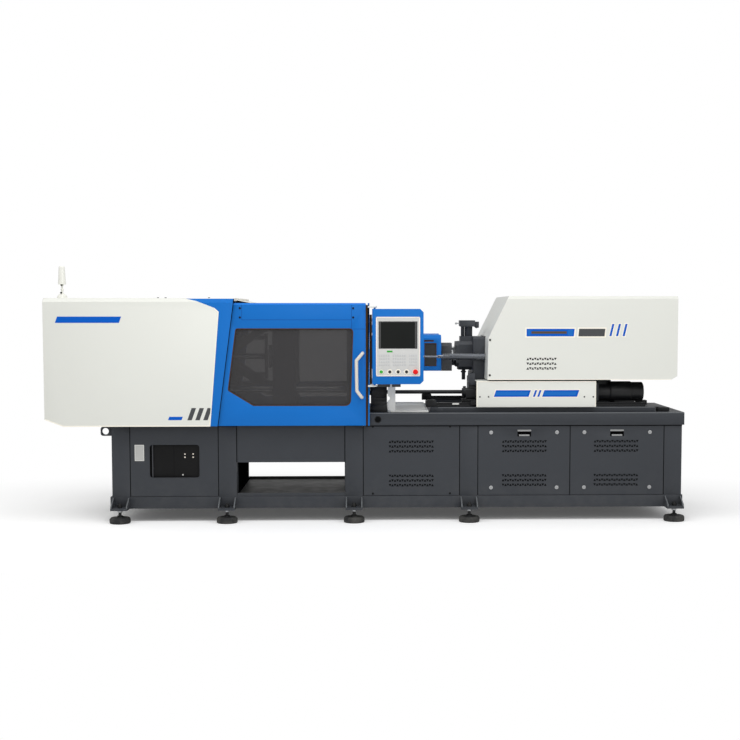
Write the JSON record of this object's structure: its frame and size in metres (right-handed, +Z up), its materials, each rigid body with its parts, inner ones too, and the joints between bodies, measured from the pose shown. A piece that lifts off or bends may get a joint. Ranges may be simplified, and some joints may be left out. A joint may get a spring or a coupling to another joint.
{
  "type": "injection moulding machine",
  "caption": "Horizontal toggle injection moulding machine on a welded bed, with sliding safety gates, operator panel and screw injection unit.",
  "frame": {"origin": "on the floor under the middle of the machine", "axes": "+X from the clamp end to the injection end, +Y to the rear, +Z up"},
  "size_m": [4.97, 1.4098, 1.988],
  "materials": {
    "bed_paint": "dark grey powder coat, satin",
    "cabinet_black": "black powder coat, satin",
    "cover_white": "off-white powder coat, satin",
    "cover_blue": "blue powder coat, satin",
    "casting": "painted casting, satin",
    "steel": "machined steel",
    "hard_chrome": "ground and polished",
    "pad_rubber": "black rubber",
    "window_pane": "smoked polycarbonate",
    "handle": "off-white coated bar",
    "motor_black": "black paint, satin",
    "bezel_grey": "light grey membrane face",
    "lamp": "white translucent plastic",
    "button_green": "green plastic",
    "button_black": "black plastic",
    "button_red": "red plastic",
    "tray_grey": "light grey paint"
  },
  "bodies": {
    "machine": {"base_frame": "bed_paint", "levelling_bolts": "steel", "levelling_pads": "pad_rubber", "injection_deck": "bed_paint", "window_panel": "bed_paint", "drive_cabinet": "cabinet_black", "drop_chute": "bed_paint", "vent_panel": "bed_paint", "access_doors": "bed_paint", "door_latches": "steel", "rear_panels": "bed_paint", "fixed_platen": "casting", "tie_bars": "hard_chrome", "tie_bar_nuts": "steel", "clamp_cover": "cover_white", "clamp_cover_band": "cover_blue", "end_guard": "cover_blue", "top_guard": "cover_blue", "gate_rails": "bed_paint", "signal_lamp": "lamp", "drip_tray": "tray_grey", "platen_rods": "cabinet_black", "carriage_rails": "bed_paint"},
    "rear_platen": {"rear_platen": "casting", "adjusting_nuts": "cabinet_black", "crosshead_guides": "casting", "clamp_motor": "motor_black"},
    "clamp_ball_screw": {"clamp_ball_screw": "steel"},
    "crosshead": {"crosshead": "casting"},
    "rear_link_upper": {"rear_link_upper": "casting"},
    "rear_link_lower": {"rear_link_lower": "casting"},
    "crosshead_link_upper": {"crosshead_link_upper": "casting"},
    "crosshead_link_lower": {"crosshead_link_lower": "casting"},
    "front_link_upper": {"front_link_upper": "casting"},
    "front_link_lower": {"front_link_lower": "casting"},
    "moving_platen": {"moving_platen": "casting"},
    "ejector": {"ejector_plate": "steel"},
    "front_gate": {"front_gate": "cover_blue", "front_gate_window": "window_pane", "gate_handle": "handle"},
    "rear_gate": {"rear_gate": "cover_blue", "rear_gate_window": "window_pane"},
    "operator_panel": {"panel_housing": "cover_blue", "panel_bezel": "bezel_grey"},
    "start_button": {"start_button": "button_green"},
    "function_button_1": {"function_button_1": "button_black"},
    "function_button_2": {"function_button_2": "button_black"},
    "function_button_3": {"function_button_3": "button_black"},
    "emergency_stop": {"emergency_stop": "button_red"},
    "carriage": {"carriage_base": "casting", "carriage_covers": "cover_white", "injection_cover": "cover_white", "feed_housing": "casting", "barrel": "steel", "touch_cylinders": "hard_chrome", "carriage_motor": "motor_black"},
    "hopper_slide": {"hopper_slide": "steel"},
    "pusher": {"pusher_plate": "casting"},
    "screw": {"plasticising_screw": "steel"},
    "purge_guard": {"purge_guard": "cover_blue"}
  },
  "joints": [
    {"name": "mould_height", "type": "slide", "parent": "machine", "child": "rear_platen", "axis": [-1, 0, 0], "range_m": [0, 0.25]},
    {"name": "clamp_stroke", "type": "slide", "parent": "rear_platen", "child": "moving_platen", "axis": [1, 0, 0], "range_m": [0, 0.34168]},
    {"name": "crosshead_travel", "type": "slide", "parent": "rear_platen", "child": "crosshead", "axis": [1, 0, 0], "range_m": [0, 0.35095]},
    {"name": "rear_link_upper_turn", "type": "hinge", "parent": "rear_platen", "child": "rear_link_upper", "pos_m": [-1.06445, 0, 1.56], "axis": [0, 1, 0], "range_deg": [-98.55, 0]},
    {"name": "front_link_upper_turn", "type": "hinge", "parent": "moving_platen", "child": "front_link_upper", "pos_m": [-0.807, 0, 1.53], "axis": [0, 1, 0], "range_deg": [0, 38.19]},
    {"name": "crosshead_link_upper_turn", "type": "hinge", "parent": "crosshead", "child": "crosshead_link_upper", "pos_m": [-1.25865, 0, 1.365], "axis": [0, 1, 0], "range_deg": [-66.24, 0]},
    {"name": "rear_link_lower_turn", "type": "hinge", "parent": "rear_platen", "child": "rear_link_lower", "pos_m": [-1.06445, 0, 0.99], "axis": [0, 1, 0], "range_deg": [0, 98.55]},
    {"name": "front_link_lower_turn", "type": "hinge", "parent": "moving_platen", "child": "front_link_lower", "pos_m": [-0.807, 0, 1.02], "axis": [0, 1, 0], "range_deg": [-38.19, 0]},
    {"name": "crosshead_link_lower_turn", "type": "hinge", "parent": "crosshead", "child": "crosshead_link_lower", "pos_m": [-1.25865, 0, 1.185], "axis": [0, 1, 0], "range_deg": [0, 66.24]},
    {"name": "clamp_screw_turn", "type": "hinge", "parent": "rear_platen", "child": "clamp_ball_screw", "pos_m": [-1.3, 0, 1.275], "axis": [1, 0, 0], "range_deg": [0, 3157.7]},
    {"name": "ejector_stroke", "type": "slide", "parent": "moving_platen", "child": "ejector", "axis": [1, 0, 0], "range_m": [0, 0.1]},
    {"name": "front_gate_slide", "type": "slide", "parent": "machine", "child": "front_gate", "axis": [-1, 0, 0], "range_m": [0, 0.75]},
    {"name": "rear_gate_slide", "type": "slide", "parent": "machine", "child": "rear_gate", "axis": [-1, 0, 0], "range_m": [0, 0.75]},
    {"name": "panel_swing", "type": "hinge", "parent": "machine", "child": "operator_panel", "pos_m": [0.052, -0.65, 1.37], "axis": [0, 0, 1], "range_deg": [-90, 0]},
    {"name": "start_button_press", "type": "slide", "parent": "operator_panel", "child": "start_button", "axis": [0, 1, 0], "range_m": [0, 0.004], "stiffness_N_per_m": 600},
    {"name": "function_button_1_press", "type": "slide", "parent": "operator_panel", "child": "function_button_1", "axis": [0, 1, 0], "range_m": [0, 0.004], "stiffness_N_per_m": 600},
    {"name": "function_button_2_press", "type": "slide", "parent": "operator_panel", "child": "function_button_2", "axis": [0, 1, 0], "range_m": [0, 0.004], "stiffness_N_per_m": 600},
    {"name": "function_button_3_press", "type": "slide", "parent": "operator_panel", "child": "function_button_3", "axis": [0, 1, 0], "range_m": [0, 0.004], "stiffness_N_per_m": 600},
    {"name": "emergency_stop_press", "type": "slide", "parent": "operator_panel", "child": "emergency_stop", "axis": [0, 1, 0], "range_m": [0, 0.005], "stiffness_N_per_m": 600},
    {"name": "carriage_travel", "type": "slide", "parent": "machine", "child": "carriage", "axis": [1, 0, 0], "range_m": [0, 0.28]},
    {"name": "hopper_shut_off", "type": "slide", "parent": "carriage", "child": "hopper_slide", "axis": [-1, 0, 0], "range_m": [0, 0.05]},
    {"name": "screw_stroke", "type": "slide", "parent": "carriage", "child": "pusher", "axis": [1, 0, 0], "range_m": [0, 0.16]},
    {"name": "screw_turn", "type": "hinge", "parent": "pusher", "child": "screw", "pos_m": [1.58, 0, 1.275], "axis": [1, 0, 0], "continuous": true},
    {"name": "purge_guard_lift", "type": "hinge", "parent": "machine", "child": "purge_guard", "pos_m": [0.33, 0.2, 1.45], "axis": [1, 0, 0], "range_deg": [-100, 0]}
  ],
  "couplings": [
    {"joint": "crosshead_travel", "follows": "clamp_stroke", "ratio": 1.0265},
    {"joint": "rear_link_upper_turn", "follows": "clamp_stroke", "rad_per_m": -5.0314},
    {"joint": "front_link_upper_turn", "follows": "clamp_stroke", "rad_per_m": 1.9482},
    {"joint": "crosshead_link_upper_turn", "follows": "clamp_stroke", "rad_per_m": -3.3808},
    {"joint": "rear_link_lower_turn", "follows": "clamp_stroke", "rad_per_m": 5.0314},
    {"joint": "front_link_lower_turn", "follows": "clamp_stroke", "rad_per_m": -1.9482},
    {"joint": "crosshead_link_lower_turn", "follows": "clamp_stroke", "rad_per_m": 3.3808},
    {"joint": "clamp_screw_turn", "follows": "clamp_stroke", "rad_per_m": 161.25}
  ]
}
